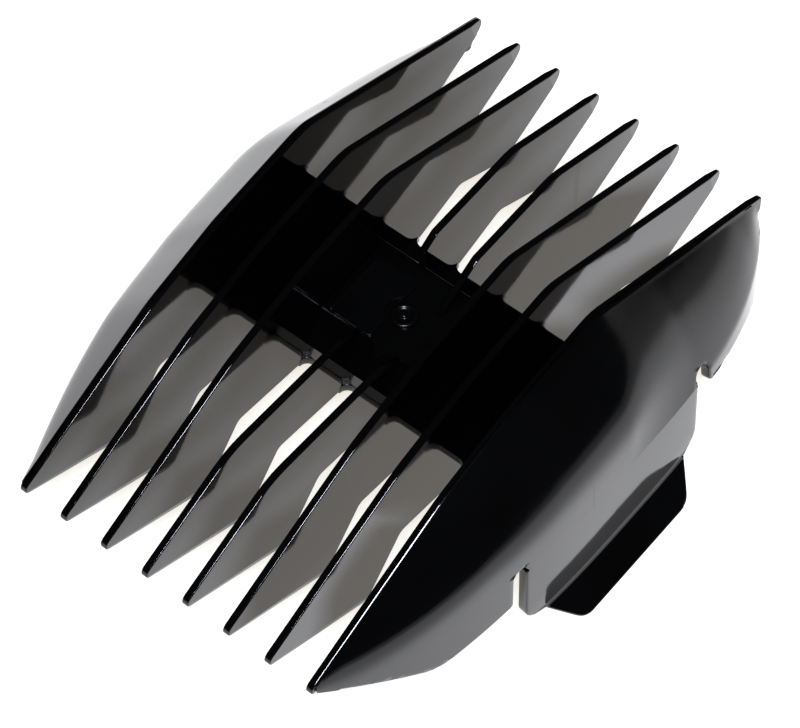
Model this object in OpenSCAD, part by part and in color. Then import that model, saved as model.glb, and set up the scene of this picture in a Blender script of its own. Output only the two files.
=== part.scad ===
// Clipper guard comb: a two-ended attachment comb with eight upright tooth plates, a flat cross web,
// two bulging side cheeks and a sprung snap arm with a finger ledge in each cheek.
// Frame: X across the plates, Y along the teeth (the long teeth point to -Y), Z up towards the skin side.
// The origin is the middle of the web's underside, where the clipper head seats.

/* [Tooth plates] */
// Distance from one tooth plate to the next
pitch = 5.2; // [4.8:0.1:6]
// Thickness of a tooth plate
plate_t = 0.8; // [0.6:0.1:1.2]
// Reach of the long front teeth, measured from the middle of the web
front_reach = 39.8; // [37:0.1:42]
// Reach of the short rear teeth
rear_reach = 33.9; // [32:0.1:36]
// Height of the tooth tips
tip_z = 3.7; // [3:0.1:4.5]
// Radius of the rounded tooth tips
tip_r = 0.9; // [0.5:0.1:1.1]
// Height of the crown of the full plates at its front end
crown_front_z = 15.6; // [14.5:0.1:17]
// Height of the crown of the full plates at its rear end
crown_rear_z = 16.9; // [15:0.1:18]
// Height of the low crown of the two middle plates
low_crown_z = 10.2; // [9.5:0.1:11]

/* [Cross web] */
// Width of the web along the teeth
web_w = 17.6; // [16:0.1:19]
// Thickness of the web
web_t = 1.2; // [1:0.1:1.6]

/* [Side cheeks] */
// How far a cheek bulges out beyond its outer tooth plate
bulge = 7.5; // [6.8:0.1:8.2]
// Wall thickness of the cheeks and the snap arms
wall = 1.2; // [1:0.1:1.4]
// Depth of the front cheek lobes below the web's underside
front_lobe_depth = 5.3; // [5:0.1:5.8]
// Depth of the rear cheek lobes below the web's underside
rear_lobe_depth = 6; // [5.6:0.1:6.4]

/* [Snap arms] */
// Half width of a snap arm
arm_half_w = 14; // [13.5:0.1:14.3]
// Depth of the fold line below the web
fold_depth = 10.3; // [9.8:0.1:10.8]
// How far a finger ledge reaches out from its arm
ledge_reach = 3.1; // [2:0.1:3.4]
// How far a catch stands in from its arm
catch_h = 0.7; // [0.4:0.1:0.9]
// Gap between an arm and its cheek at the root
root_gap = 0.3; // [0.3:0.05:0.4]

/* [Hidden] */

plates = 8;
web_half = web_w / 2;
face_x = (plates - 1) / 2 * pitch + plate_t / 2;
arc_steps = 8;

// Crown corners, heels and notch corners of a tooth plate
crown_front_y = -9.1;
crown_rear_y = 4.7;
front_heel = [-25, -4.6];
front_notch = [-19.4, 1.9];
rear_heel = [24.2, -1.6];
rear_notch = [16.6, 2.6];
front_shoulder = [-19.6, 13.1];
front_swell = [-28, 9.5];

// Low middle plates
low_front_y = -26.4;
low_rear_y = 19;
low_gap_front = -8.9;
low_gap_rear = 6.2;

// Raised platform between plates 3 and 6
platform_mid_y = -2.05;
platform_half_l = 6.05;
platform_top = 7.2;
platform_half_w = 3 / 2 * pitch - plate_t / 2;
platform_wall = 1.2;

// Barrel surface of the cheeks
belt_z = -8.5;
front_plan_power = 2.5;
rear_plan_power = 3.6;
thin_edge = 0.15;
wall_steps = 12;

// Slots beside the snap arms
slot_top_z = 1.2;
slot_mouth_half = 16.3;
front_mouth_z = -4.4;
rear_mouth_z = -2.5;
arm_shift = -0.4;
far = 60;
ledge_root_half = 11.4;

// Small helpers
function unit(v) = v / norm(v);
function turn(a, b, c) = (b[0] - a[0]) * (c[1] - b[1]) - (b[1] - a[1]) * (c[0] - b[0]);

// Points of one rounded corner at b between a and c, with radius r
function corner_arc(a, b, c, r) =
    let (u = unit(a - b), v = unit(c - b))
    let (half = acos(u * v) / 2, back = r / tan(half))
    let (p = b + u * back, q = b + v * back)
    let (centre = b + unit(u + v) * (r / sin(half)))
    let (start = atan2(p[1] - centre[1], p[0] - centre[0]), sweep = 180 - 2 * half)
    let (way = turn(a, b, c) > 0 ? 1 : -1)
    [for (i = [0:arc_steps]) centre + r * [cos(start + way * sweep * i / arc_steps),
                                           sin(start + way * sweep * i / arc_steps)]];

// Outline whose corners are [y, z, radius]
function rounded(c) =
    let (n = len(c))
    [for (i = [0:n - 1])
        let (a = [c[(i + n - 1) % n][0], c[(i + n - 1) % n][1]])
        let (b = [c[i][0], c[i][1]], d = [c[(i + 1) % n][0], c[(i + 1) % n][1]])
        each (c[i][2] > 0 ? corner_arc(a, b, d, c[i][2]) : [b])];

// Extrudes a Y-Z outline along X from x0 over a thickness t
module along_x(x0, t) {
    translate([x0, 0, 0])
        rotate([90, 0, 90])
            linear_extrude(t) children();
}

// Straight top edges of the plates, corrected so that the rounded tips end at the stated reach
tip_overrun = tip_r * 1.35;
front_tip = [-front_reach - tip_overrun, tip_z + 0.1];
rear_tip = [rear_reach + tip_overrun, tip_z + 0.1];

function crown_z(y) = lookup(y, [
    [-front_reach, tip_z + 0.4], front_swell, front_shoulder, [crown_front_y, crown_front_z],
    [crown_rear_y - 1.6, crown_rear_z - 0.15], [crown_rear_y, crown_rear_z - 0.22],
    [crown_rear_y + 1.6, crown_rear_z - 0.72], [rear_reach, tip_z + 0.3]
]);

// Full tooth plate outline, with the web's cross-section taken out
module full_outline() {
    difference() {
        polygon(rounded([
            [front_tip[0], front_tip[1], tip_r],
            [front_heel[0], front_heel[1], 1.4],
            [front_notch[0], front_notch[1], 1],
            [-web_half, 0.2, 0],
            [web_half, 0.2, 0],
            [rear_notch[0], rear_notch[1], 1.5],
            [rear_heel[0], rear_heel[1], 1.4],
            [rear_tip[0], rear_tip[1], tip_r],
            [crown_rear_y, crown_rear_z, 6],
            [crown_front_y, crown_front_z, 8],
            [front_shoulder[0], front_shoulder[1], 12],
            [front_swell[0], front_swell[1], 20]
        ]));
        web_section();
    }
}

module web_section() {
    translate([-web_half, -1]) square([web_w, web_t + 1]);
}

module platform_section() {
    translate([platform_mid_y - platform_half_l, 0]) square([2 * platform_half_l, platform_top]);
}

// Low middle plate: one end only, stopping at the platform
module low_outline(front, ramp_y, ramp_z) {
    difference() {
        polygon(rounded(front ? [
            [front_tip[0], front_tip[1], tip_r],
            [front_heel[0], front_heel[1], 1.4],
            [front_notch[0], front_notch[1], 1],
            [-web_half, 0.2, 0],
            [-web_half, 0, 0],
            [ramp_y, 0, 0],
            [ramp_y, ramp_z, 0],
            [low_gap_front, low_crown_z - 1.6, 0.8],
            [low_front_y, low_crown_z - 0.3, 9]
        ] : [
            [rear_tip[0], rear_tip[1], tip_r],
            [low_rear_y, low_crown_z + 0.3, 5],
            [low_gap_rear, low_crown_z + 0.3, 1],
            [ramp_y, ramp_z, 0],
            [ramp_y, 0, 0],
            [web_half, 0, 0],
            [web_half, 0.2, 0],
            [rear_notch[0], rear_notch[1], 1.5],
            [rear_heel[0], rear_heel[1], 1.4]
        ]));
        web_section();
        platform_section();
    }
}

function plate_x(i) = (i - (plates + 1) / 2) * pitch - plate_t / 2;

module full_plate(i) {
    color("#1b1b1d") along_x(plate_x(i), plate_t) full_outline();
}

module low_plate(i, front, ramp_y, ramp_z) {
    color("#202022") along_x(plate_x(i), plate_t) low_outline(front, ramp_y, ramp_z);
}

// Bulge of the cheek surface at y, and its outline seen from the skin side
function plan_len(y) = y < 0 ? front_reach : rear_reach;
function plan_power(y) = y < 0 ? front_plan_power : rear_plan_power;
function bulge_at(y) = bulge * (1 - pow(abs(y) / plan_len(y), plan_power(y)));
function plan_limit(side) = plan_len(side) * pow(1 - thin_edge / bulge, 1 / plan_power(side));

// X of the barrel surface moved in by a, at y and z
function surface_x(y, z, a) =
    let (n = max(0, (z - belt_z) / (crown_z(y) - a - belt_z)))
    face_x + max(0, bulge_at(y) - a) * pow(max(0, 1 - n * n), 1 / 3);

// Closed X-Z ring of a wall at y: up the outside from low to top, down the inside
function ring(y, low, top, inner_top, power) = concat(
    [for (i = [0:wall_steps])
        let (z = top - (top - low) * pow(1 - i / wall_steps, power))
        [surface_x(y, z, 0), y, z]],
    [for (i = [wall_steps:-1:0])
        let (z = inner_top - (inner_top - low) * pow(1 - i / wall_steps, power))
        [surface_x(y, z, wall), y, z]]
);

// Wall lofted through rings that all have the same number of points
module lofted_wall(rings) {
    n = len(rings[0]);
    m = len(rings);
    last = (m - 1) * n;
    polyhedron(
        [for (r = rings) each r],
        concat(
            [for (i = [0:n / 2 - 2]) each [[i, i + 1, n - 2 - i], [i, n - 2 - i, n - 1 - i]]],
            [for (i = [0:n / 2 - 2])
                each [[last + n - 2 - i, last + i + 1, last + i], [last + n - 1 - i, last + n - 2 - i, last + i]]],
            [for (i = [0:m - 2], j = [0:n - 1])
                [i * n + j, (i + 1) * n + j, (i + 1) * n + (j + 1) % n]],
            [for (i = [0:m - 2], j = [0:n - 1])
                [i * n + j, (i + 1) * n + (j + 1) % n, i * n + (j + 1) % n]]
        )
    );
}

// Lower edge of a cheek: the lobes, the rounded slots and the root line above the snap arm
front_heel_y = 24.3;
function front_lobe_z(s) =
    s > front_heel_y
        ? -front_lobe_depth + (front_lobe_depth + tip_z) * pow((s - front_heel_y) / (front_reach - front_heel_y), 1.4)
        : -front_lobe_depth + (front_lobe_depth + front_mouth_z)
            * pow((front_heel_y - s) / (front_heel_y - slot_mouth_half), 1.3);
function rear_lobe_z(s) = lookup(s, [
    [slot_mouth_half, rear_mouth_z], [20, rear_mouth_z - 0.5], [24, rear_mouth_z - 1.2],
    [26.5, -rear_lobe_depth + 1.2], [28.4, -rear_lobe_depth + 0.1], [29.6, -rear_lobe_depth],
    [30.6, -rear_lobe_depth + 0.8], [31.5, -rear_lobe_depth + 2.4], [32.3, -rear_lobe_depth + 4.3],
    [33.1, tip_z - 3.3], [rear_reach, tip_z - 0.9]
]);
function slot_z(s, mouth_z) = lookup(s, [
    [arm_half_w, 0], [arm_half_w + 0.5, slot_top_z - 0.3], [arm_half_w + 1, slot_top_z],
    [slot_mouth_half - 0.7, slot_top_z - 0.1], [slot_mouth_half - 0.2, slot_top_z - 0.9],
    [slot_mouth_half, mouth_z]
]);
function cheek_low(y) =
    let (s = abs(y), mouth_z = y < 0 ? front_mouth_z : rear_mouth_z)
    s < slot_mouth_half ? slot_z(s, mouth_z) : y < 0 ? front_lobe_z(s) : rear_lobe_z(s);

slot_ys = [
    slot_mouth_half, slot_mouth_half - 0.2, slot_mouth_half - 0.7,
    arm_half_w + 1, arm_half_w + 0.5, arm_half_w
];
crown_ys = [-11.5, crown_front_y, -4.5, 0, crown_rear_y - 1.6, crown_rear_y, crown_rear_y + 1.6, 10];

module right_side_cheek() {
    front = plan_limit(-1);
    rear = plan_limit(1);
    ys = concat(
        [for (i = [0:11]) -slot_mouth_half - (front - slot_mouth_half) * cos(90 * i / 12)],
        [for (y = slot_ys) -y],
        crown_ys,
        [for (i = [len(slot_ys) - 1:-1:0]) slot_ys[i]],
        [for (i = [1:13]) slot_mouth_half + (rear - slot_mouth_half) * sin(90 * i / 13)]
    );
    lofted_wall([for (y = ys)
        let (low = cheek_low(y), top = crown_z(y))
        ring(y, low, top, max(top - wall, low + 0.4 * (top - low)), 2.5)]);
}

// Lower edge of a snap arm: straight along the fold line, with a rounded corner at each end
corner_l = 2.3;
function arm_low(s) =
    -fold_depth + 5 * (1 - sqrt(1 - pow(max(0, s - arm_half_w + corner_l) / corner_l, 2)));

arm_step = 2.625;
module right_side_arm() {
    ys = concat(
        [for (i = [0:6]) -arm_half_w + corner_l * (1 - cos(90 * i / 6))],
        [for (i = [-4:4]) arm_step * i],
        [for (i = [0:6]) arm_half_w - corner_l * (1 - sin(90 * i / 6))]
    );
    lofted_wall([for (y = ys) ring(y + arm_shift, arm_low(abs(y)), -root_gap, -root_gap, 1)]);
}

// Finger ledge: a plate that leaves the foot of the arm and runs out and down at 45 degrees
ledge_t = 0.9;
ledge_end_half = 8.6;
module right_side_ledge() {
    outer_x = face_x + bulge_at(ledge_root_half);
    end_x = outer_x + ledge_reach;
    end_z = -fold_depth - ledge_reach;
    step = ledge_t / sqrt(2);
    intersection() {
        translate([0, far / 2, 0])
            rotate([90, 0, 0])
                linear_extrude(far) polygon(rounded([
                    [outer_x - wall, -fold_depth, 0],
                    [outer_x - wall, end_z - 2 * step + ledge_reach + wall, 0],
                    [end_x - step, end_z - step, 0.3],
                    [end_x, end_z, 0.3],
                    [outer_x, -fold_depth, 0]
                ]));
        translate([0, 0, -far])
            linear_extrude(far) polygon(rounded([
                [0, -ledge_root_half, 0],
                [outer_x, -ledge_root_half, 0],
                [outer_x + ledge_reach, -ledge_end_half, 2],
                [outer_x + ledge_reach, ledge_end_half, 2],
                [outer_x, ledge_root_half, 0],
                [0, ledge_root_half, 0]
            ]));
    }
}

// Catch: a low wedge along the inside of the arm that snaps under the clipper head
catch_half_l = 6;
function arm_foot(i) =
    let (y = arm_shift + arm_step * i)
    [surface_x(y, belt_z, wall), y];

module right_side_catch() {
    inner_x = face_x + bulge - wall;
    intersection() {
        translate([0, catch_half_l, 0])
            rotate([90, 0, 0])
                linear_extrude(2 * catch_half_l) polygon([
                    [inner_x - catch_h, -fold_depth + 0.9],
                    [inner_x + 1, -fold_depth + 1.8],
                    [inner_x + 1, -fold_depth + 0.05],
                    [inner_x - catch_h, -fold_depth + 0.5]
                ]);
        translate([0, 0, -far])
            linear_extrude(far) polygon(concat([[0, 0]], [for (i = [-3:3]) arm_foot(i)]));
    }
}

// Web from cheek to cheek, with a window under the hollow platform
module cross_web() {
    color("#161618") {
        difference() {
            translate([-face_x, -web_half, 0]) cube([2 * face_x, web_w, web_t]);
            translate([-platform_half_w + platform_wall, platform_mid_y - platform_half_l + platform_wall, -1])
                cube([2 * (platform_half_w - platform_wall), 2 * (platform_half_l - platform_wall), web_t + 2]);
        }
        web_wing();
        mirror([1, 0, 0]) web_wing();
    }
}

// Part of the web that runs on inside a cheek, up to its curved inner face
module web_wing() {
    linear_extrude(web_t) polygon(concat(
        [[face_x, web_half], [face_x, -web_half]],
        [for (i = [-8:8]) [surface_x(web_half * i / 8, web_t / 2, wall), web_half * i / 8]]
    ));
}

// Hollow platform that lifts the blank mark plate up between the middle plates
module mark_platform() {
    color("#191919") difference() {
        translate([-platform_half_w, platform_mid_y - platform_half_l, web_t])
            cube([2 * platform_half_w, 2 * platform_half_l, platform_top - web_t]);
        translate([-platform_half_w + platform_wall, platform_mid_y - platform_half_l + platform_wall, 0])
            cube([2 * (platform_half_w - platform_wall), 2 * (platform_half_l - platform_wall),
                  platform_top - platform_wall]);
    }
}

// Blank plate where a length mark would stand, cut back round the gate boss
mark_x = [-6.2, -1.1];
mark_half_l = 4.1;
mark_h = 0.25;
gate_r = 1.5;
module blank_mark_plate() {
    color("#262629") difference() {
        translate([mark_x[0], platform_mid_y - mark_half_l, platform_top])
            cube([mark_x[1] - mark_x[0], 2 * mark_half_l, mark_h]);
        translate([0, platform_mid_y, platform_top - 1]) cylinder(h = 3, r = gate_r + 0.6, $fn = 48);
    }
}

// Moulding gate mark: a low ring with a sunken middle and a small nub
module gate_boss() {
    color("#2a2a2d") translate([0, platform_mid_y, platform_top]) {
        difference() {
            cylinder(h = 0.4, r = gate_r, $fn = 48);
            translate([0, 0, 0.2]) cylinder(h = 1, r = gate_r * 0.55, $fn = 48);
        }
        translate([0, 0, 0.2]) cylinder(h = 0.25, r = 0.35, $fn = 32);
    }
}

module tooth_plate_1() full_plate(1);
module tooth_plate_2() full_plate(2);
module tooth_plate_3() full_plate(3);
module tooth_plate_4_front() low_plate(4, true, low_gap_front + 0.7, platform_top);
module tooth_plate_4_rear() low_plate(4, false, 4, 9.3);
module tooth_plate_5_front() low_plate(5, true, low_gap_front + 0.7, platform_top);
module tooth_plate_5_rear() low_plate(5, false, 0.1, platform_top);
module tooth_plate_6() full_plate(6);
module tooth_plate_7() full_plate(7);
module tooth_plate_8() full_plate(8);

module right_cheek() color("#1d1d20") right_side_cheek();
module left_cheek() color("#1d1d20") mirror([1, 0, 0]) right_side_cheek();
module right_snap_arm() color("#232326") right_side_arm();
module left_snap_arm() color("#232326") mirror([1, 0, 0]) right_side_arm();
module right_finger_ledge() color("#141416") right_side_ledge();
module left_finger_ledge() color("#141416") mirror([1, 0, 0]) right_side_ledge();
module right_catch() color("#2c2c30") right_side_catch();
module left_catch() color("#2c2c30") mirror([1, 0, 0]) right_side_catch();

cross_web();
mark_platform();
blank_mark_plate();
gate_boss();
tooth_plate_1();
tooth_plate_2();
tooth_plate_3();
tooth_plate_4_front();
tooth_plate_4_rear();
tooth_plate_5_front();
tooth_plate_5_rear();
tooth_plate_6();
tooth_plate_7();
tooth_plate_8();
left_cheek();
right_cheek();
left_snap_arm();
right_snap_arm();
left_finger_ledge();
right_finger_ledge();
left_catch();
right_catch();
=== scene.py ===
"""Looks for the clipper guard comb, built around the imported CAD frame.

Lengths are in millimetres until a mesh is made. X runs across the plates, the long front tips
point along -Y, the short rear tips along +Y, and Z is up from the web's underside.
"""

import math

import bmesh
import bpy
import numpy as np
from mathutils import Matrix, Vector


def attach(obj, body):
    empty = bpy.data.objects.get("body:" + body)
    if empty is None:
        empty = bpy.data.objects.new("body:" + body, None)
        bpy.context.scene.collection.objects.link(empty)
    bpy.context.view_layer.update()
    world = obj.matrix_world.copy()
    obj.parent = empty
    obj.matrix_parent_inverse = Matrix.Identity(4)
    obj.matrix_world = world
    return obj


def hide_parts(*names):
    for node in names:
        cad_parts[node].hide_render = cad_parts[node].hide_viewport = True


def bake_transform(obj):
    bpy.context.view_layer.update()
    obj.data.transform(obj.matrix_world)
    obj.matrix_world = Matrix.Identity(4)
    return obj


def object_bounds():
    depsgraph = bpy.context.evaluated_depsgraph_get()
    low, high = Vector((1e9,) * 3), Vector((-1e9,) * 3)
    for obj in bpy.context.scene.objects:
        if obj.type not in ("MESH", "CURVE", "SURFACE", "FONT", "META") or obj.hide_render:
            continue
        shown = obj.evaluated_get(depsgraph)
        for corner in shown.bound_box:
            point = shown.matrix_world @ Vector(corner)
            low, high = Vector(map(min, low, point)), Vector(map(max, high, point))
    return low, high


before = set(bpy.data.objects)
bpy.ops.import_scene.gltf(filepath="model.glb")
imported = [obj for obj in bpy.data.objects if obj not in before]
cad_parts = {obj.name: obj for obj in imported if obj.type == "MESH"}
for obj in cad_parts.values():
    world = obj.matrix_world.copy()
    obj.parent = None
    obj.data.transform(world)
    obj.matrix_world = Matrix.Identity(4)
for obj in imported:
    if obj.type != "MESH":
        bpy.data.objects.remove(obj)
cad_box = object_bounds()

MM = 0.001

# ---------------------------------------------------------------- sizes shared with the CAD part
PITCH = 5.2
PLATE_T = 0.8
FRONT_REACH, REAR_REACH = 39.8, 33.9
TIP_Z = 3.7
WEB_HALF, WEB_T = 8.8, 1.2
FACE_X = 3.5 * PITCH + PLATE_T / 2  # outer face of plates 1 and 8
BULGE, WALL, BELT_Z = 7.5, 1.2, -8.5
FOLD_Z = -10.3
LEDGE_X, LEDGE_Z = 28.9, -13.45  # outer edge of a finger ledge
PLATFORM_X, PLATFORM_BACK, PLATFORM_TOP = 7.4, 4.0, 7.2
GATE_Y = -2.05
ARM_FRONT, ARM_REAR = -14.4, 13.6  # the arm's edges, at the slots beside it

# ---------------------------------------------------------------- sizes of the finer shapes
PLATE_RIM, WEB_RIM, MARK_RIM, BEAD_RIM = 0.12, 0.12, 0.05, 0.15  # radius of a slab's rims
CHEEK_BEVEL, ARM_BEVEL, PLATFORM_BEVEL, CATCH_BEVEL = 0.2, 0.15, 0.5, 0.1
# Where a plate's tip starts to thin: a point in Y-Z, the way it faces, and the slope of each face
FRONT_FOLD = ((-39.3, 3.4), (-7.2, -14.6), 0.16)
REAR_FOLD = ((32.2, 3.4), (1.0, 0.25), 0.12)
SMALLEST_HALF = 0.02  # half thickness left at a thinned tip

# ---------------------------------------------------------------- outlines
# Corners are (y, z, radius)


def rounded(corners, step=12.0):
    """Outline points for corners [(a, b, radius)], each turned into an arc of that radius."""
    out = []
    for i, (a, b, r) in enumerate(corners):
        here = np.array([a, b], float)
        if r <= 0:
            out.append(here)
            continue
        before = np.array(corners[i - 1][:2], float) - here
        after = np.array(corners[(i + 1) % len(corners)][:2], float) - here
        u, v = before / np.linalg.norm(before), after / np.linalg.norm(after)
        half = math.acos(float(np.clip(u @ v, -1, 1))) / 2
        centre = here + (u + v) / np.linalg.norm(u + v) * r / math.sin(half)
        p, q = here + u * r / math.tan(half), here + v * r / math.tan(half)
        a0, a1 = (math.atan2(*(w - centre)[::-1]) for w in (p, q))
        sweep = (a1 - a0 + math.pi) % (2 * math.pi) - math.pi
        n = max(2, math.ceil(abs(math.degrees(sweep)) / step))
        out += [
            centre
            + r * np.array([math.cos(a0 + sweep * k / n), math.sin(a0 + sweep * k / n)])
            for k in range(n + 1)
        ]
    return np.array(out)


def dense(points, step=0.6, closed=True):
    """The same outline with no stretch longer than step."""
    points = np.asarray(points, float)
    ends = np.roll(points, -1, axis=0) if closed else points[1:]
    out = []
    for p, q in zip(points, ends):
        n = max(1, math.ceil(np.linalg.norm(q - p) / step))
        out += [p + (q - p) * k / n for k in range(n)]
    if not closed:
        out.append(points[-1])
    return np.array(out)


FRONT_LOW = [(-FRONT_REACH - 1.2, TIP_Z + 0.1, 0.9), (-25, -4.6, 1.4), (-19.4, 1.9, 1)]
REAR_LOW = [(16.6, 2.6, 1.5), (24.2, -1.6, 1.4), (REAR_REACH + 1.2, TIP_Z + 0.1, 0.9)]
CROWN = [(4.7, 16.9, 6), (-9.1, 15.6, 8), (-19.6, 13.1, 12), (-28, 9.5, 20)]
FULL = rounded(FRONT_LOW + [(-8.6, 0.2, 0), (8.6, 0.2, 0)] + REAR_LOW + CROWN)
FRONT_HALF = rounded(
    FRONT_LOW
    + [(-8.6, 0.2, 0), (-8.3, 0.2, 0), (-8.3, 3.0, 0), (-6.1, 7.1, 0)]
    + [(-8.9, 8.6, 0.8), (-26.4, 9.9, 9)]
)


def rear_half(end_y, end_z):
    """Low middle plate behind the platform, ramping down to end_z at end_y."""
    return rounded(
        [(end_y, 5.0, 0), (8.0, 0.3, 0), (8.6, 0.2, 0)]
        + REAR_LOW
        + [(19, 10.5, 5), (6.2, 10.5, 1), (end_y, end_z, 0)]
    )


TOP_EDGE = FULL[FULL[:, 1] > TIP_Z + 0.1]
TOP_EDGE = TOP_EDGE[np.argsort(TOP_EDGE[:, 0])]


def crown(y):
    """Height of the full plates' top edge."""
    return np.interp(y, TOP_EDGE[:, 0], TOP_EDGE[:, 1])


def bulge(y):
    """How far a cheek stands out beyond its outer plate, at its belt."""
    reach = np.where(y < 0, FRONT_REACH, REAR_REACH)
    power = np.where(y < 0, 2.5, 3.6)
    return BULGE * np.clip(1 - (np.abs(y) / reach) ** power, 0, 1)


def barrel(y, z):
    """X of a cheek's outer surface: a nearly upright side below a sloping shoulder.

    The two are blended over a width of about soft, which is less where the cheek stands out less.
    """
    n = np.clip((z - BELT_Z) / (crown(y) - BELT_Z), 0, 1)
    lean = np.interp(y, [2, 14], [0, 0.28])
    soft = np.minimum(bulge(y) / 3 + 0.001, np.interp(y, [-20, 0, 15], [0.5, 0.8, 1.1]))
    side = bulge(y) * (1 - 0.06 * n) - lean * np.clip(z, 0, None)
    slope = np.interp(y, [-25, -12, 5, 15], [0.84, 0.78, 0.8, 1.0])
    shoulder = slope * np.clip(crown(y) - z, 0, None)
    out = -soft * np.log(np.exp(-side / soft) + np.exp(-shoulder / soft))
    return FACE_X + np.clip(out, 0, None)


# ---------------------------------------------------------------- materials


def plastic(name, tone=0.003, gloss=0.06, grain=0.0, waviness=1.0, scratches=1.0):
    """Black moulded plastic: faint flow in its tone, waves in its gloss and hairline scratches.

    grain above 0 adds the fine pits of a spark-eroded mould.
    """
    m = bpy.data.materials.new(name)
    m.use_nodes = True
    t = m.node_tree
    t.nodes.clear()

    def add(kind, **settings):
        n = t.nodes.new(kind)
        for key, value in settings.items():
            if key in n.inputs:
                n.inputs[key].default_value = value
            else:
                setattr(n, key, value)
        return n

    def noise(scale, detail, rough=0.5, stretch=None, turn=0.0):
        source = coords.outputs["Object"]
        if stretch:
            mapping = add("ShaderNodeMapping")
            mapping.inputs["Scale"].default_value = stretch
            mapping.inputs["Rotation"].default_value = (turn, turn * 0.4, turn * 0.7)
            t.links.new(source, mapping.inputs["Vector"])
            source = mapping.outputs[0]
        n = add("ShaderNodeTexNoise", Scale=scale, Detail=detail, Roughness=rough)
        t.links.new(source, n.inputs["Vector"])
        return n.outputs["Fac"]

    def ramp(source, low, high, a, b):
        ends = {"From Min": low, "From Max": high, "To Min": a, "To Max": b}
        n = add("ShaderNodeMapRange", **ends)
        t.links.new(source, n.inputs["Value"])
        return n.outputs["Result"]

    def join(kind, a, b):
        n = add("ShaderNodeMath", operation=kind)
        t.links.new(a, n.inputs[0])
        t.links.new(b, n.inputs[1])
        return n.outputs[0]

    def bump(height, strength, distance, below=None):
        n = add("ShaderNodeBump", Strength=strength, Distance=distance)
        t.links.new(height, n.inputs["Height"])
        if below:
            t.links.new(below, n.inputs["Normal"])
        return n.outputs["Normal"]

    coords = add("ShaderNodeTexCoord")
    flow = noise(90, 3, 0.55)
    smear = noise(260, 4, 0.6, stretch=(1.0, 0.25, 1.0))
    hair_a = noise(420, 2, 0.5, stretch=(1.0, 0.05, 1.0), turn=0.5)
    hair_b = noise(380, 2, 0.5, stretch=(1.0, 1.0, 0.06), turn=-0.7)
    lines = join(
        "MAXIMUM", ramp(hair_a, 0.735, 0.755, 0, 1), ramp(hair_b, 0.74, 0.76, 0, 1)
    )

    colour = add("ShaderNodeValToRGB")
    dark, light = colour.color_ramp.elements
    dark.position, light.position = 0.3, 0.75
    dark.color = (tone * 0.7, tone * 0.7, tone * 0.78, 1)
    light.color = (tone * 1.5, tone * 1.5, tone * 1.6, 1)
    t.links.new(flow, colour.inputs["Fac"])

    rough = join(
        "ADD",
        ramp(smear, 0.3, 0.75, gloss * 0.7, gloss * 1.7),
        ramp(lines, 0, 1, 0, 0.12 * scratches),
    )
    normal = bump(flow, 0.35 * waviness, 0.00006)
    normal = bump(smear, 0.18 * waviness, 0.00001, normal)
    normal = bump(lines, 0.15 * scratches, 0.000006, normal)
    if grain:
        pits = noise(5200, 2, 0.6)
        rough = join("ADD", rough, ramp(pits, 0.3, 0.8, grain * 0.25, grain * 0.55))
        normal = bump(pits, grain, 0.00004, normal)

    shader = add("ShaderNodeBsdfPrincipled", IOR=1.52)
    t.links.new(colour.outputs["Color"], shader.inputs["Base Color"])
    t.links.new(rough, shader.inputs["Roughness"])
    t.links.new(normal, shader.inputs["Normal"])
    t.links.new(shader.outputs[0], add("ShaderNodeOutputMaterial").inputs["Surface"])
    return m


TOOTH = plastic("tooth_plastic", gloss=0.05, waviness=0.8)
WEB = plastic("web_plastic", gloss=0.07, waviness=0.7)
CHEEK = plastic("cheek_plastic", gloss=0.11, waviness=1.2)
ARM = plastic("arm_plastic", gloss=0.06, waviness=1.1, scratches=1.3)
CATCH = plastic("ledge_plastic", gloss=0.10)
PLATFORM = plastic("platform_plastic", tone=0.0025, gloss=0.08, grain=0.12)
MARK = plastic("mark_plastic", tone=0.003, gloss=0.1, grain=0.35)

# ---------------------------------------------------------------- mesh helpers


def everything(bm):
    """All that bisect_plane may cut."""
    return bm.verts[:] + bm.edges[:] + bm.faces[:]


def upright(a, b, h):
    """Places a slab's outline in X-Y, with its thickness along Z."""
    return a, b, h


def finish_piece(bm, name, material, nodes, body="comb_body", bevel=0.0):
    """Turns a bmesh in millimetres into a named piece, in place of its CAD nodes.

    With no body, the piece is left unattached. bevel rounds the edges that carry a bevel weight.
    """
    bmesh.ops.recalc_face_normals(bm, faces=bm.faces)
    mesh = bpy.data.meshes.new(name)
    bm.to_mesh(mesh)
    bm.free()
    mesh.transform(Matrix.Scale(MM, 4))
    mesh.materials.append(material)
    piece = bpy.data.objects.new(name, mesh)
    bpy.context.collection.objects.link(piece)
    if bevel:
        mod = piece.modifiers.new("Rim", "BEVEL")
        mod.width, mod.segments, mod.limit_method = bevel * MM, 3, "WEIGHT"
        mod.use_clamp_overlap = False
        mod = piece.modifiers.new("Flat faces", "WEIGHTED_NORMAL")
        mod.keep_sharp = True
    if nodes:
        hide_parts(*nodes)
    if body:
        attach(piece, body)
    return piece


def inset(points, distance):
    """The outline moved inwards; it runs anticlockwise."""
    along = np.roll(points, -1, axis=0) - points
    along /= np.linalg.norm(along, axis=1)[:, None]
    side = np.stack([-along[:, 1], along[:, 0]], 1)
    before = np.roll(side, 1, axis=0)
    mitre = side + before
    mitre /= np.maximum((mitre * side).sum(1), 0.4)[:, None]
    return points + mitre * distance


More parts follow.
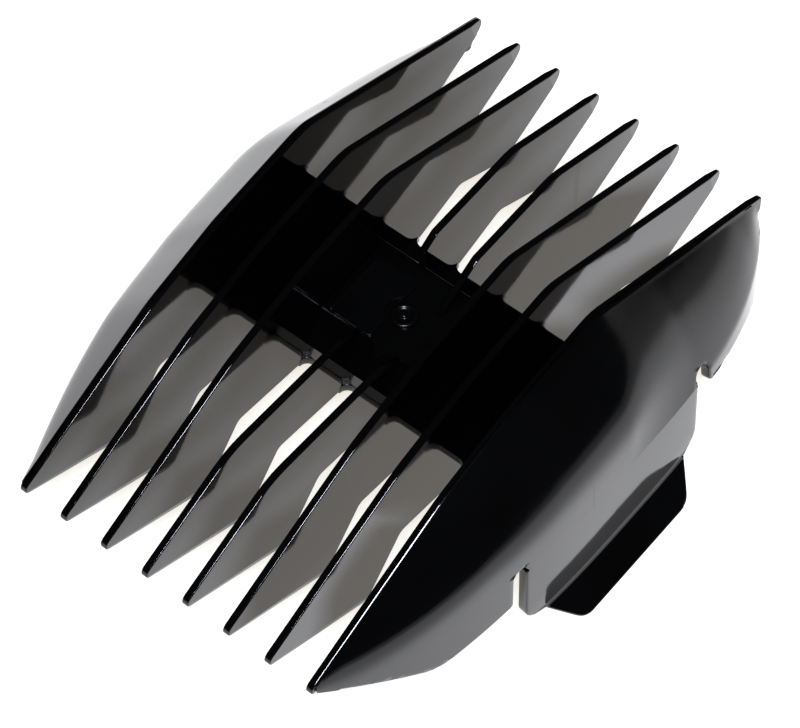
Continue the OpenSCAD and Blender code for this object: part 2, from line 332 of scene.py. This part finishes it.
def slab(outline, low, high, radius, place, hole=None, segments=4):
    """A bmesh of an outline between two heights, with its rims rounded.

    place maps (a, b, height) to x, y, z.
    """
    levels = []
    for level, sign in ((low, 1), (high, -1)):
        arc = [math.pi / 2 * k / segments for k in range(segments + 1)]
        ring = [
            (radius * (1 - math.cos(a)), level + sign * radius * (1 - math.sin(a))) for a in arc
        ]
        levels += ring[::-1] if sign > 0 else ring
    bm = bmesh.new()
    ends = []
    for loop, way in ((outline, 1), (hole, -1)):
        if loop is None:
            continue
        turn = np.roll(loop, -1, axis=0)
        if (loop[:, 0] * turn[:, 1] - turn[:, 0] * loop[:, 1]).sum() * way < 0:
            loop = loop[::-1]
        rings = [
            [bm.verts.new(place(a, b, h)) for a, b in inset(loop, d)] for d, h in levels
        ]
        n = len(loop)
        for one, two in zip(rings, rings[1:]):
            for i in range(n):
                j = (i + 1) % n
                bm.faces.new((one[i], one[j], two[j], two[i])).smooth = True
        ends.append((rings[0], rings[-1]))
    for end in (0, 1):
        if hole is None:
            bm.faces.new(ends[0][end])
            continue
        edges = [
            bm.edges.get((pair[end][i - 1], pair[end][i]))
            for pair in ends
            for i in range(len(pair[end]))
        ]
        bmesh.ops.triangle_fill(bm, edges=edges, use_beauty=True)
    return bm


def fold(bm, through, facing, slope, axis_x):
    """Folds a plate's two faces inwards beyond a line in the Y-Z plane, keeping the fold crisp."""
    co, no = Vector((0, *through)), Vector((0, *facing)).normalized()
    cut = bmesh.ops.bisect_plane(bm, geom=everything(bm), plane_co=co, plane_no=no)
    for part in cut["geom_cut"]:
        if isinstance(part, bmesh.types.BMEdge):
            part.smooth = False
    for v in bm.verts:
        beyond = (v.co - co).dot(no)
        if beyond > 1e-5:
            off = v.co.x - axis_x
            v.co.x = axis_x + math.copysign(max(abs(off) - beyond * slope, SMALLEST_HALF), off)


def tooth_plate(name, outline, index, front=True, rear=True):
    """One tooth plate: rounded rims, and tips thinned so that they slide into hair."""
    x = (index - 4.5) * PITCH
    half = PLATE_T / 2
    bm = slab(outline, x - half, x + half, PLATE_RIM, lambda y, z, h: (h, y, z))
    if front:
        fold(bm, *FRONT_FOLD, x)
    if rear:
        fold(bm, *REAR_FOLD, x)
    return finish_piece(bm, name, TOOTH, [name.replace("_look", "")])


def patch(outline, a_cuts, b_cuts):
    """A flat grid in (a, b) trimmed to an outline."""
    bm = bmesh.new()
    bm.faces.new([bm.verts.new((a, b, 0)) for a, b in outline])
    for normal, cuts in ((Vector((1, 0, 0)), a_cuts), (Vector((0, 1, 0)), b_cuts)):
        for c in cuts:
            bmesh.ops.bisect_plane(
                bm, geom=everything(bm), plane_co=normal * c, plane_no=normal
            )
    bmesh.ops.remove_doubles(bm, verts=bm.verts, dist=0.1)
    bmesh.ops.triangulate(bm, faces=[f for f in bm.faces if len(f.verts) > 4])
    return bm


def shell(flat, surface, thickness, plain_rim, keep_x=None):
    """Maps a flat grid onto surface(a, b) and gives it a wall on its inner side.

    Rim edges are marked for rounding, unless plain_rim(a, b). keep_x is the least X inside.
    """
    ab = np.array([v.co[:2] for v in flat.verts])
    flat.verts.index_update()
    a, b = ab.T
    near = 0.02  # step for the surface's slope
    outer = surface(a, b)
    da = surface(a + near, b) - surface(a - near, b)
    db = surface(a, b + near) - surface(a, b - near)
    normal = np.cross(da, db)
    normal /= np.linalg.norm(normal, axis=1)[:, None] + 1e-12
    normal *= np.sign(normal[:, :1] + 1e-9)
    inner = outer - normal * thickness(a, b)[:, None]
    if keep_x:
        inner[:, 0] = np.maximum(inner[:, 0], keep_x)
    bm = bmesh.new()
    weight = bm.edges.layers.float.new("bevel_weight_edge")
    out = [bm.verts.new(p) for p in outer]
    ins = [bm.verts.new(p) for p in inner]
    for f in flat.faces:
        ids = [v.index for v in f.verts]
        bm.faces.new([out[i] for i in ids]).smooth = True
        bm.faces.new([ins[i] for i in ids[::-1]]).smooth = True
    for edge in flat.edges:
        if not edge.is_boundary:
            continue
        i, j = (v.index for v in edge.verts)
        bm.faces.new((out[i], out[j], ins[j], ins[i])).smooth = True
        plain = plain_rim(*ab[i]) and plain_rim(*ab[j])
        for pair in ((out[i], out[j]), (ins[i], ins[j])):
            found = bm.edges.get(pair)
            found[weight] = 0.0 if plain else 1.0
            found.smooth = not plain
    flat.free()
    return bm


def both_sides(bm):
    """The right side's bmesh and its mirror image, each with the name of its side."""
    other = bm.copy()
    bmesh.ops.scale(other, vec=(-1, 1, 1), verts=other.verts)
    bmesh.ops.reverse_faces(other, faces=other.faces)
    return ("right", bm), ("left", other)


# ---------------------------------------------------------------- tooth plates

for k in (1, 2, 3, 6, 7, 8):
    tooth_plate(f"tooth_plate_{k}_look", FULL, k)
for k, rear_end in ((4, (4.2, 9.3)), (5, (0.2, 7.3))):
    tooth_plate(f"tooth_plate_{k}_front_look", FRONT_HALF, k, rear=False)
    tooth_plate(f"tooth_plate_{k}_rear_look", rear_half(*rear_end), k, front=False)

# ---------------------------------------------------------------- side cheeks

V_SPAN = 40.0  # grid coordinate of the crown
V_POWER = 1.2
Z_BASE = -13.0  # height where the grid starts
CHEEK_ENDS = (-39.3, 33.6)
OVERLAP = 0.35  # how far a cheek runs on over the top of its plate
TOP_POINTS = 150


def to_v(y, z):
    """Height as a grid coordinate, with its rows packed near the crown, where the cheek turns."""
    share = np.clip((crown(y) - z) / (crown(y) - Z_BASE), 0, 1)
    return V_SPAN * (1 - share ** (1 / V_POWER))


def cheek_surface(y, v):
    """The barrel below the crown, running on flat over the top of the outer plate."""
    share = np.clip(1 - v / V_SPAN, 0, 1)
    z = crown(y) - (crown(y) - Z_BASE) * share**V_POWER
    over = np.clip(v - V_SPAN, 0, None)
    return np.stack([barrel(y, z) - over, y, z], 1)


lower = rounded(
    [
        (CHEEK_ENDS[0], 3.3, 0), (-26.2, -5.5, 5), (-16.3, -4.4, 0.5), (-16.25, 1.3, 0.9),
        (ARM_FRONT, 1.3, 0.85), (-14.35, 0, 0), (13.55, 0, 0), (ARM_REAR, 1.5, 0.9),
        (15.7, 1.5, 0.9), (16.15, -2.5, 0.5), (24, -3.6, 10), (29.95, -6.7, 1.6),
        (CHEEK_ENDS[1], 2.6, 0), (CHEEK_ENDS[1], 4.0, 0), (CHEEK_ENDS[0], 4.3, 0),
    ],
    step=20,
)[:-2]
lower = dense(lower, 0.5, closed=False)
upper_y = np.linspace(CHEEK_ENDS[1], CHEEK_ENDS[0], TOP_POINTS)
cheek_outline = np.concatenate(
    [
        np.stack([lower[:, 0], to_v(lower[:, 0], lower[:, 1])], 1),
        np.stack([upper_y, np.full(TOP_POINTS, V_SPAN + OVERLAP)], 1),
    ]
)


def plain_cheek_rim(y, v):
    """True at the crown, at the two thin ends and along the arm's root, which stay sharp."""
    at_root = ARM_FRONT < y < ARM_REAR and abs(v - to_v(y, 0.0)) < 0.4
    return v > V_SPAN - 0.2 or not -37 < y < 32.6 or at_root


cheek = shell(
    patch(cheek_outline, np.linspace(-39, 33.3, 96), np.linspace(1, V_SPAN, 46)),
    cheek_surface,
    lambda y, v: np.full(len(y), WALL),
    plain_cheek_rim,
    keep_x=FACE_X - 0.4,
)
for side, bm in both_sides(cheek):
    name = f"{side}_cheek_look"
    finish_piece(bm, name, CHEEK, [f"{side}_cheek"], bevel=CHEEK_BEVEL)

# ---------------------------------------------------------------- snap arms with finger ledges

LEDGE_RUN = 4.4
FILLET = 0.45
LEDGE_T = 0.9


def arm_section(y, s):
    """Down the barrel to the fold at s = 0, then out along the ledge."""
    up = np.clip(s, 0, None)
    out = np.clip(-s, 0, None) / LEDGE_RUN
    z = FOLD_Z + up
    x = barrel(y, z)
    return np.stack([x + (LEDGE_X - x) * out, y, z + (LEDGE_Z - FOLD_Z) * out], 1)


def arm_surface(y, s):
    """The same with a small fillet in the fold."""
    t = np.clip((s + FILLET) / (2 * FILLET), 0, 1)[:, None]
    below, above = (arm_section(y, np.full(len(y), e)) for e in (-FILLET, FILLET))
    middle = arm_section(y, np.zeros(len(y)))
    curve = (1 - t) ** 2 * below + 2 * t * (1 - t) * middle + t**2 * above
    return np.where(np.abs(s)[:, None] < FILLET, curve, arm_section(y, s))


arm_outline = dense(
    rounded(
        [
            (ARM_FRONT, -FOLD_Z, 0), (ARM_FRONT - 0.05, 0.3, 2.4), (-11.6, -0.1, 0.4),
            (-8.6, -LEDGE_RUN, 2.2), (8.6, -LEDGE_RUN, 2.2), (11.5, -0.1, 0.4),
            (ARM_REAR + 0.05, 0.3, 2.6), (ARM_REAR, -FOLD_Z, 0),
        ]
    ),
    0.4,
)
arm_rows = np.concatenate(
    [np.linspace(-4.2, -0.5, 8), np.linspace(-FILLET, FILLET, 9), np.linspace(0.7, 10, 16)]
)
arm = shell(
    patch(arm_outline, np.linspace(-14, 13, 40), arm_rows),
    arm_surface,
    lambda y, s: np.interp(s, [-0.6, 0.6], [LEDGE_T, WALL]),
    lambda y, s: s > -FOLD_Z - 0.05,
)
for side, bm in both_sides(arm):
    nodes = [f"{side}_snap_arm", f"{side}_finger_ledge"]
    piece = finish_piece(
        bm, f"{side}_arm_and_ledge_look", ARM, nodes, body=None, bevel=ARM_BEVEL
    )
    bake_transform(piece)

# ---------------------------------------------------------------- cross web


def web_outline(fillet=1.0, steps=5):
    """The web seen from above, with a fillet wherever an edge meets a plate or a cheek."""
    end_x = float(barrel(WEB_HALF, WEB_T / 2)) - WALL + 0.3
    arc = [math.pi / 2 * k / steps for k in range(steps + 1)]
    edge = []
    for k in range(9):
        a = -end_x if k == 0 else (k - 4.5) * PITCH + PLATE_T / 2
        b = end_x if k == 8 else (k - 3.5) * PITCH - PLATE_T / 2
        edge += [(a + fillet * (1 - math.cos(t)), fillet * (1 - math.sin(t))) for t in arc]
        edge += [(b - fillet * (1 - math.sin(t)), fillet * (1 - math.cos(t))) for t in arc]
    front = [(x, -WEB_HALF - out) for x, out in edge]
    return np.array(front + [(x, -y) for x, y in front[::-1]])


window = rounded(
    [(sx * 6.2, GATE_Y + sy * 4.85, 0.4) for sx, sy in ((-1, -1), (1, -1), (1, 1), (-1, 1))]
)
web = slab(web_outline(), 0.0, WEB_T, WEB_RIM, upright, hole=window, segments=3)
finish_piece(web, "cross_web_look", WEB, ["cross_web"])

# ---------------------------------------------------------------- platform, blank mark, gate boss


# Each ring is a half width, a front, a back and a height
rings = [
    [(sx * x, y0 if sy < 0 else y1, z) for sx, sy in ((-1, -1), (1, -1), (1, 1), (-1, 1))]
    for x, y0, y1, z in (
        (6.2, -6.9, 2.8, 1.1), (6.2, -5.6, 2.8, 6.0),
        (PLATFORM_X, -8.75, PLATFORM_BACK, 1.1), (PLATFORM_X, -8.75, PLATFORM_BACK, 3.3),
        (PLATFORM_X, -6.3, PLATFORM_BACK, PLATFORM_TOP),
    )
]
bm = bmesh.new()
weight = bm.edges.layers.float.new("bevel_weight_edge")
inner_low, inner_top, outer_low, outer_mid, outer_top = (
    [bm.verts.new(p) for p in ring] for ring in rings
)
steps = (inner_top, inner_low, outer_low, outer_mid, outer_top)
for one, two in zip(steps, steps[1:]):
    for k in range(4):
        bm.faces.new((one[k - 1], one[k], two[k], two[k - 1]))
bm.faces.new(inner_top)
bm.faces.new(outer_top)
for k in range(4):
    bm.edges.get((outer_top[k - 1], outer_top[k]))[weight] = 0.4
    bm.edges.get((outer_top[k], outer_mid[k]))[weight] = 0.4
finish_piece(
    bm, "mark_platform_look", PLATFORM, ["mark_platform"], bevel=PLATFORM_BEVEL
)

# The pale line along the blank plate's left edge
bead = rounded(
    [(x, y, BEAD_RIM) for x, y in ((-6.5, -6.1), (-6.1, -6.1), (-6.1, 2.0), (-6.5, 2.0))]
)
bead = slab(bead, PLATFORM_TOP - 0.1, PLATFORM_TOP + 0.32, BEAD_RIM, upright)
finish_piece(bead, "mark_edge_bead", MARK, [])

# The blank plate, with a round bite beside the gate boss
cut = [
    (2.1 * math.cos(math.radians(a)), GATE_Y + 2.1 * math.sin(math.radians(a)), 0)
    for a in range(238, 121, -9)
]
mark = rounded(
    [(-1.1, GATE_Y + 4.1, 0.5), (-6.2, GATE_Y + 4.1, 0.6)]
    + [(-6.2, GATE_Y - 4.1, 0.6), (-1.1, GATE_Y - 4.1, 0.5)]
    + cut
)
mark = slab(mark, PLATFORM_TOP - 0.2, PLATFORM_TOP + 0.25, MARK_RIM, upright, segments=3)
finish_piece(mark, "blank_mark_look", MARK, ["blank_mark_plate"])

# The gate boss, turned from (radius, height above the platform)
profile = [
    (0, 0.42), (0.2, 0.42), (0.32, 0.37), (0.38, 0.24), (0.5, 0.2), (0.72, 0.2), (0.84, 0.26),
    (0.92, 0.37), (1.05, 0.4), (1.32, 0.4), (1.44, 0.34), (1.5, 0.2), (1.5, -0.2),
]
bm = bmesh.new()
turns = 48
rows = []
for r, h in profile:
    ring = [2 * math.pi * k / turns for k in range(turns)] if r else [0.0]
    rows.append(
        [bm.verts.new((r * math.cos(a), GATE_Y + r * math.sin(a), PLATFORM_TOP + h)) for a in ring]
    )
for inner, outer in zip(rows, rows[1:]):
    for k in range(turns):
        j = (k + 1) % turns
        if len(inner) == 1:
            bm.faces.new((inner[0], outer[k], outer[j])).smooth = True
        else:
            bm.faces.new((inner[k], outer[k], outer[j], inner[j])).smooth = True
bm.faces.new(rows[-1])
finish_piece(bm, "gate_boss_look", MARK, ["gate_boss"])

# A small raised triangle on the platform's front slope
bm = bmesh.new()
foot = [bm.verts.new(p) for p in ((-0.3, -6.4, 6.9), (1.3, -6.3, 7.1), (0.3, -7.0, 6.0))]
face = [bm.verts.new(p) for p in ((-0.2, -6.6, 7.05), (1.1, -6.55, 7.2), (0.3, -7.3, 6.15))]
bm.faces.new(foot)
bm.faces.new(face)
for k in range(3):
    bm.faces.new((foot[k - 1], foot[k], face[k], face[k - 1]))
finish_piece(bm, "triangle_relief", MARK, [])

# ---------------------------------------------------------------- catches

for side in ("left", "right"):
    catch = bpy.data.objects[f"{side}_catch"]
    catch.data.materials.clear()
    catch.data.materials.append(CATCH)
    catch.modifiers.new("Weld", "WELD").merge_threshold = 0.002 * MM
    rim = catch.modifiers.new("Rim", "BEVEL")
    rim.width, rim.segments = CATCH_BEVEL * MM, 3
    rim.limit_method, rim.angle_limit = "ANGLE", math.radians(35)
    rim.harden_normals = True

# ---------------------------------------------------------------- floor, light and camera

# In metres: the floor's gap below the part, its radius, and the radii over which the painted pool
# of light on it fades, in glow and in colour
FLOOR_GAP, FLOOR_RADIUS = 0.0002, 1.6
FADE_NEAR, FADE_FAR = 0.09, 0.24
floor_z = cad_box[0][2] - FLOOR_GAP
bpy.ops.mesh.primitive_circle_add(
    vertices=128, radius=FLOOR_RADIUS, fill_type="NGON", location=(0, 0, floor_z)
)
floor = bpy.context.object
floor.name = "floor"
pooled_light_floor = bpy.data.materials.new("floor_with_painted_pool_of_light")
pooled_light_floor.use_nodes = True
tree = pooled_light_floor.node_tree
shade = tree.nodes["Principled BSDF"]
shade.inputs["Roughness"].default_value = 0.9
shade.inputs["Specular IOR Level"].default_value = 0.1
shade.inputs["Emission Color"].default_value = (1, 0.95, 0.88, 1)
coords = tree.nodes.new("ShaderNodeTexCoord")
reach = tree.nodes.new("ShaderNodeVectorMath")
reach.operation = "LENGTH"
tree.links.new(coords.outputs["Object"], reach.inputs[0])
# The floor glows though it is no lamp, and its glow and its base colour both fade from the centre
# outwards: a painted pool of light, bright under the part and darker far off
for near, far, socket in ((0.68, 0.2, "Emission Strength"), (0.9, 0.4, "Base Color")):
    fade = tree.nodes.new("ShaderNodeMapRange")
    fade.interpolation_type = "SMOOTHSTEP"
    ends = {"From Min": FADE_NEAR, "From Max": FADE_FAR, "To Min": near, "To Max": far}
    for key, value in ends.items():
        fade.inputs[key].default_value = value
    tree.links.new(reach.outputs["Value"], fade.inputs["Value"])
    tree.links.new(fade.outputs["Result"], shade.inputs[socket])
floor.data.materials.append(pooled_light_floor)

world = bpy.data.worlds.new("studio")
bpy.context.scene.world = world
world.use_nodes = True
sky = world.node_tree.nodes["Background"].inputs
sky["Color"].default_value = (0.9, 0.95, 1.0, 1)
sky["Strength"].default_value = 0.03

# One square softbox, a metre away and facing the object
away = Vector((0.30, -0.36, 0.88)).normalized()
box = bpy.data.lights.new("key", "AREA")
box.size, box.energy, box.color = 0.2, 8, (0.82, 0.88, 1.0)
key_light = bpy.data.objects.new("key", box)
key_light.location = away
key_light.rotation_euler = away.to_track_quat("Z", "Y").to_euler()
bpy.context.collection.objects.link(key_light)

# The camera, fitted to the photograph: its direction and roll in radians, its distance, and how
# far its axis passes from the point AIM_Z above the origin
CAMERA_DISTANCE, AIM_RIGHT, AIM_DOWN, AIM_Z = 485.904293, 1.69625527, 2.60624852, 0.6
azimuth, elevation, roll = -0.898220279, 1.00490662, 0.00189384
back = Vector(
    (
        math.cos(elevation) * math.cos(azimuth),
        math.cos(elevation) * math.sin(azimuth),
        math.sin(elevation),
    )
)
right = (-back).cross(Vector((0, 0, 1))).normalized()
down = (-back).cross(right)
right, down = (
    right * math.cos(roll) + down * math.sin(roll),
    down * math.cos(roll) - right * math.sin(roll),
)
eye = back * CAMERA_DISTANCE - right * AIM_RIGHT + down * AIM_DOWN + Vector((0, 0, AIM_Z))
camera = bpy.data.objects.new("camera", bpy.data.cameras.new("camera"))
camera.data.lens, camera.data.sensor_width = 214.802, 36
camera.data.clip_start, camera.data.clip_end = 0.01, 20
camera.matrix_world = Matrix.Translation(eye * MM) @ Matrix(
    [[right[i], -down[i], back[i]] for i in range(3)]
).to_4x4()
bpy.context.collection.objects.link(camera)
bpy.context.scene.camera = camera
view = bpy.context.scene.view_settings
view.view_transform, view.look = "Standard", "Medium High Contrast"
